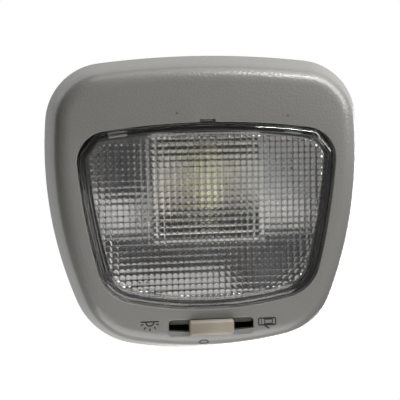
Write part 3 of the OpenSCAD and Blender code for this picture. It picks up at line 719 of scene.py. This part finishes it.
class DOMELIGHT_OT_lens(bpy.types.Operator):
    """Makes the clear lens with its shoulder, corner flats, pillow optics and snap hooks"""
    bl_idname = "dome_light.lens"
    bl_label = "Lens"

    def execute(self, context):
        sizes = context.scene.dome_light_sizes
        gap = sizes.lens_gap
        bm = bmesh.new()
        rim = pillows(bm, sizes)

        def ring(inset):
            return outline(OPENING, gap + inset, flat=CORNER_FLAT)

        shoulder_z = LENS_FRONT_Z + SHOULDER_DROP
        levels = [(ring(inset), LENS_IN_Z + height) for inset, height in SKIRT_ROOT]
        levels += [(ring(SKIRT_WALL), SKIRT_Z), (ring(0), SKIRT_Z), (ring(0), shoulder_z)]
        for k in range(1, 9):
            turn = math.pi / 2 * k / 8
            z = shoulder_z - SHOULDER_DROP * math.sin(turn)
            levels.append((ring(SHOULDER * (1 - math.cos(turn))), z))
        edge = ring(SHOULDER)
        middle = Vector((0, OPTIC_Y))
        for share in (0.93, 0.8, 0.62, 0.42, 0.2):
            crown = sizes.lens_crown * (1 - share * share)
            levels.append(([middle + (p - middle) * share for p in edge], LENS_FRONT_Z - crown))
        inner_edge, centre = loft(bm, levels)
        fill(bm, inner_edge, rim)
        bmesh.ops.contextual_create(bm, geom=centre)
        hook_boxes(bm, gap)
        material = clear_polycarbonate(context.scene.dome_light_colours.lens, sizes.pillow_pitch)
        finish(bm, "lens_cover", material, LAMP, ["lens"])
        return {"FINISHED"}


class DOMELIGHT_OT_knob(bpy.types.Operator):
    """Makes the crowned switch knob with its stem"""
    bl_idname = "dome_light.knob"
    bl_label = "Switch knob"

    def execute(self, context):
        long, wide, front, back = KNOB
        bm = bmesh.new()
        levels = []
        for inset, z in [(0.0, back)] + [(inset, front + behind) for inset, behind in KNOB_EDGE]:
            shape = rounded(long - 2 * inset, wide - 2 * inset, max(0.2, 0.9 - inset * 0.5))
            levels.append((at_slot(shape), z))
        inset, crown = KNOB_EDGE[-1]
        for share in (0.75, 0.5, 0.25):
            shape = rounded((long - 2 * inset) * share, (wide - 2 * inset) * share, 0.5 * share)
            levels.append((at_slot(shape), front + crown * share ** 2))
        closed_loft(bm, levels)
        stem = bmesh.ops.create_cube(bm, size=1)["verts"]
        bmesh.ops.scale(bm, vec=KNOB_STEM, verts=stem)
        bmesh.ops.translate(bm, vec=(0, SLOT_Y, back + KNOB_STEM[2] / 2 - STEM_SUNK), verts=stem)
        material = knob_plastic(context.scene.dome_light_colours.knob)
        finish(bm, "knob_cap", material, SLIDER, ["switch_knob"])
        return {"FINISHED"}


def stroke(bm, points, width, closed=False):
    """A flat line of one width through points in the plane."""
    points = [Vector(p) for p in points]
    count = len(points)
    sides = []
    for k, point in enumerate(points):
        before = points[k - 1] if k or closed else point
        after = points[(k + 1) % count] if k < count - 1 or closed else point
        along = (after - before).normalized()
        across = Vector((-along.y, along.x)) * width / 2
        sides.append([bm.verts.new((*(point + across), 0)), bm.verts.new((*(point - across), 0))])
    pairs = list(zip(sides, sides[1:])) + ([(sides[-1], sides[0])] if closed else [])
    for one, other in pairs:
        bm.faces.new((one[0], one[1], other[1], other[0]))


def arc_points(centre, radius, first, last, count=10, squeeze=1.0):
    turns = [math.radians(first + (last - first) * k / count) for k in range(count + 1)]
    return [(centre[0] + radius * math.cos(t), centre[1] + squeeze * radius * math.sin(t)) for t in turns]


class DOMELIGHT_OT_print(bpy.types.Operator):
    """Prints the generic lamp, door and off symbols beside the switch"""
    bl_idname = "dome_light.print"
    bl_label = "Printed symbols"

    def execute(self, context):
        width = context.scene.dome_light_sizes.stroke
        ink = printed_ink(context.scene.dome_light_colours.print)
        # A lamp under the roof, with its rays
        lamp = bmesh.new()
        roof = -1.7
        stroke(lamp, [(-3.9, roof), (3.9, roof)], width)
        stroke(lamp, arc_points((0, roof), 1.75, 0, 180, squeeze=1.05), width)
        for turn in (90, 52, 128, 20, 160):
            out = Vector((math.cos(math.radians(turn)), math.sin(math.radians(turn))))
            stroke(lamp, [(2.9 * out.x, roof + 2.9 * out.y), (4.1 * out.x, roof + 4.1 * out.y)], width)
        self.lay(lamp, (-26.4, 45.9), "print_lamp", ink)
        # A car seen from above, with an open door
        door = bmesh.new()
        cabin = [(-1.3, -1.0), (2.6, -1.0), (2.2, 0.0), (2.6, 1.0), (-1.3, 1.0), (-0.9, 0.0)]
        stroke(door, rounded(7.5, 3.0, 0.6, count=4), width, closed=True)
        stroke(door, cabin, width * 1.1, closed=True)
        stroke(door, [(-2.5, 1.0), (-2.5, -1.0)], width * 0.5)
        stroke(door, [(-1.2, 1.6), (0.9, 3.2)], width)
        self.lay(door, (24.3, 46.2), "print_door", ink)
        # A ring for off, which runs over the rolled edge
        off = bmesh.new()
        stroke(off, arc_points((0, 0), 1.85, 0, 345, count=23, squeeze=0.72), width * 1.15, closed=True)
        self.lay(off, (-3.2, 55.0), "print_off", ink, bend=True)
        return {"FINISHED"}

    def lay(self, bm, centre, name, ink, bend=False):
        """Lays a symbol on the bezel, round its rolled edge where that is asked."""
        roll = bpy.context.scene.dome_light_sizes.edge_radius
        start = foot(RIM) - roll_inset(roll)
        for vert in bm.verts:
            x, y = vert.co.x + centre[0], vert.co.y + centre[1]
            turn = max(0.0, y - start) / roll if bend else 0.0
            if bend:
                y = min(y, start) + roll * math.sin(turn)
            vert.co = (x, y, FACE_Z + roll * (1 - math.cos(turn)))
            vert.co += Vector((0, INK_LIFT * math.sin(turn), -INK_LIFT * math.cos(turn)))
        made = bmesh.ops.extrude_face_region(bm, geom=bm.faces[:])["geom"]
        back = [v for v in made if isinstance(v, bmesh.types.BMVert)]
        bmesh.ops.translate(bm, vec=(0, 0, INK_THICK), verts=back)
        finish(bm, name, ink, LAMP)


class DOMELIGHT_OT_inner_finishes(bpy.types.Operator):
    """Gives the carried-over inner parts their materials"""
    bl_idname = "dome_light.inner_finishes"
    bl_label = "Inner finishes"

    def execute(self, context):
        colours = context.scene.dome_light_colours
        finishes = {
            tray_plastic(colours.tray): ["light_tray"],
            lacquered_sheet(): ["reflector"],
            base_plastic(colours.base): ["base"],
            blown_glass(): ["bulb_glass"],
            metal("nickel_plated_cap", "#b7b3a8", 0.28): ["bulb_cap_top", "bulb_cap_low"],
            metal("drawn_tungsten", "#5d5d60", 0.45): ["bulb_filament"],
            metal("tinned_spring_strip", "#b3aea2", 0.3): ["bulb_clip_lamp", "bulb_clip_feed"],
            metal("tinned_rivet", "#b5b2aa", 0.35): ["clip_rivets"],
            metal("tarnished_tinned_brass", "#5c574c", 0.52, 3.0): ["feed_strip", "ground_strip",
                "door_strip", "lamp_strip"],
            dark_acetal("#6b6c61", "moulded_dark_acetal"): ["switch_housing"],
            dark_acetal("#4a4a48", "black_acetal_carriage"): ["switch_carriage"],
            metal("phosphor_bronze_strip", "#b58a5c", 0.3): ["contact_bridge"],
            metal("polished_ball_steel", "#c2c4c6", 0.12): ["detent_balls"],
            metal("drawn_spring_wire", "#8f9194", 0.32): ["detent_springs"],
            metal("zinc_plated_steel", "#aeb3b8", 0.33, 1.5): ["base_screws"],
        }
        for material, nodes in finishes.items():
            for node in nodes:
                mesh = NODES[node].data
                mesh.materials.clear()
                mesh.materials.append(material)
        return {"FINISHED"}


class DOMELIGHT_OT_stage(bpy.types.Operator):
    """Sets the camera, the soft lamps, the pale floor and the white surroundings"""
    bl_idname = "dome_light.stage"
    bl_label = "Stage"

    def execute(self, context):
        scene = context.scene
        scene.view_settings.view_transform = "Standard"
        self.camera(scene)
        self.lamp(scene, "top_lamp", (190, -800, -60), (1000, 460), 3.1)
        self.lamp(scene, "edge_lamp", (300, -700, -335), (220, 90), 4.7)
        self.lamp(scene, "low_lamp", (-35, 220, -108), (360, 170), 0.74)
        self.lamp(scene, "right_lamp", (180, -130, -80), (140, 70), 0.31)
        self.lamp(scene, "roof_lamp", (250, 200, 850), (600, 600), 6.0)
        self.floor(scene)
        self.world(scene)
        return {"FINISHED"}

    def camera(self, scene):
        yaw, pitch, roll = VIEW_YAW, VIEW_PITCH, VIEW_ROLL
        away = Vector((-math.sin(yaw) * math.cos(pitch), -math.sin(pitch), -math.cos(yaw) * math.cos(pitch)))
        level = Vector((math.cos(yaw), 0, -math.sin(yaw)))
        steep = away.cross(level).normalized()
        right = math.cos(roll) * level - math.sin(roll) * steep
        up = math.sin(roll) * level + math.cos(roll) * steep
        data = bpy.data.cameras.new("camera")
        data.sensor_width = 36
        data.lens = PIXELS_PER_MM * VIEW_DISTANCE / PICTURE * data.sensor_width
        data.clip_start, data.clip_end = 0.01, 10
        data.shift_x = (PICTURE / 2 - TARGET_PIXEL[0]) / PICTURE
        data.shift_y = (TARGET_PIXEL[1] - PICTURE / 2) / PICTURE
        camera = bpy.data.objects.new("camera", data)
        turned = Matrix((right, up, away)).transposed().to_4x4()
        camera.matrix_world = Matrix.Translation((VIEW_TARGET + away * VIEW_DISTANCE) * MM) @ turned
        scene.collection.objects.link(camera)
        scene.camera = camera

    def lamp(self, scene, name, where, size, power):
        """A soft lamp turned to the origin, which the camera doesn't see."""
        data = bpy.data.lights.new(name, "AREA")
        data.shape = "RECTANGLE"
        data.size, data.size_y = size[0] * MM, size[1] * MM
        data.energy = power
        made = bpy.data.objects.new(name, data)
        made.location = Vector(where) * MM
        made.rotation_euler = (-Vector(where)).to_track_quat("-Z", "Y").to_euler()
        made.visible_camera = False
        scene.collection.objects.link(made)

    def floor(self, scene):
        """A pale floor under the part, white to the camera."""
        bm = bmesh.new()
        bmesh.ops.create_grid(bm, x_segments=8, y_segments=8, size=3)
        bmesh.ops.translate(bm, vec=(0, 0, -0.9), verts=bm.verts)
        mesh = bpy.data.meshes.new("floor")
        bm.to_mesh(mesh)
        bm.free()
        floor = bpy.data.objects.new("floor", mesh)
        scene.collection.objects.link(floor)
        material, tree, shader = new_material("pale_backdrop_paint", hex_linear("#d8d8d6"), 0.9)
        white = add_node(tree, "ShaderNodeEmission", {"Color": (1, 1, 1, 1), "Strength": 1.0})
        seen = add_node(tree, "ShaderNodeLightPath").outputs["Is Camera Ray"]
        mixed = add_node(tree, "ShaderNodeMixShader", {0: seen, 1: shader.outputs["BSDF"],
            2: white.outputs["Emission"]})
        tree.links.new(mixed.outputs["Shader"], tree.nodes["Material Output"].inputs["Surface"])
        mesh.materials.append(material)

    def world(self, scene):
        """Dim surroundings, white to the camera, and growing white upwards where they are mirrored."""
        world = bpy.data.worlds.new("studio")
        world.use_nodes = True
        tree = world.node_tree
        dim = tree.nodes["Background"]
        dim.inputs["Color"].default_value = (0.03, 0.03, 0.03, 1)
        white = add_node(tree, "ShaderNodeBackground", {"Color": (1, 1, 1, 1), "Strength": 1.0})
        path = add_node(tree, "ShaderNodeLightPath").outputs
        where = add_node(tree, "ShaderNodeTexCoord").outputs["Generated"]
        height = add_node(tree, "ShaderNodeSeparateXYZ", {0: where}).outputs["Z"]
        above = add_node(tree, "ShaderNodeMapRange", {"Value": height, "From Min": 0.2, "From Max": 1.0})
        bent = add_node(tree, "ShaderNodeMath", {0: path["Is Glossy Ray"], 1: path["Is Transmission Ray"]},
            operation="MAXIMUM").outputs[0]
        bent = add_node(tree, "ShaderNodeMath", {0: bent, 1: above.outputs["Result"]},
            operation="MULTIPLY").outputs[0]
        shown = add_node(tree, "ShaderNodeMath", {0: path["Is Camera Ray"], 1: bent},
            operation="MAXIMUM").outputs[0]
        mixed = add_node(tree, "ShaderNodeMixShader", {0: shown, 1: dim.outputs["Background"],
            2: white.outputs["Background"]})
        tree.links.new(mixed.outputs["Shader"], tree.nodes["World Output"].inputs["Surface"])
        scene.world = world


PIECES = [DOMELIGHT_OT_bezel, DOMELIGHT_OT_lens, DOMELIGHT_OT_knob, DOMELIGHT_OT_print,
    DOMELIGHT_OT_inner_finishes, DOMELIGHT_OT_stage]


class DOMELIGHT_PT_panel(bpy.types.Panel):
    """Sizes, colours and makers of the dome light"""
    bl_idname = "DOMELIGHT_PT_panel"
    bl_label = "Dome light"
    bl_space_type = "VIEW_3D"
    bl_region_type = "UI"
    bl_category = "Dome light"

    def draw(self, context):
        for group in (context.scene.dome_light_sizes, context.scene.dome_light_colours):
            for name in group.bl_rna.properties.keys():
                if name not in ("rna_type", "name"):
                    self.layout.prop(group, name)
        for piece in PIECES:
            self.layout.operator(piece.bl_idname)


CLASSES = [DomeLightSizes, DomeLightColours, *PIECES, DOMELIGHT_PT_panel]


def register():
    for made in CLASSES:
        bpy.utils.register_class(made)
    bpy.types.Scene.dome_light_sizes = PointerProperty(type=DomeLightSizes)
    bpy.types.Scene.dome_light_colours = PointerProperty(type=DomeLightColours)


def unregister():
    del bpy.types.Scene.dome_light_colours
    del bpy.types.Scene.dome_light_sizes
    for made in reversed(CLASSES):
        bpy.utils.unregister_class(made)


def main():
    register()
    bpy.ops.dome_light.bezel()
    bpy.ops.dome_light.lens()
    bpy.ops.dome_light.knob()
    bpy.ops.dome_light.print()
    bpy.ops.dome_light.inner_finishes()
    bpy.ops.dome_light.stage()


if __name__ == "__main__":
    main()
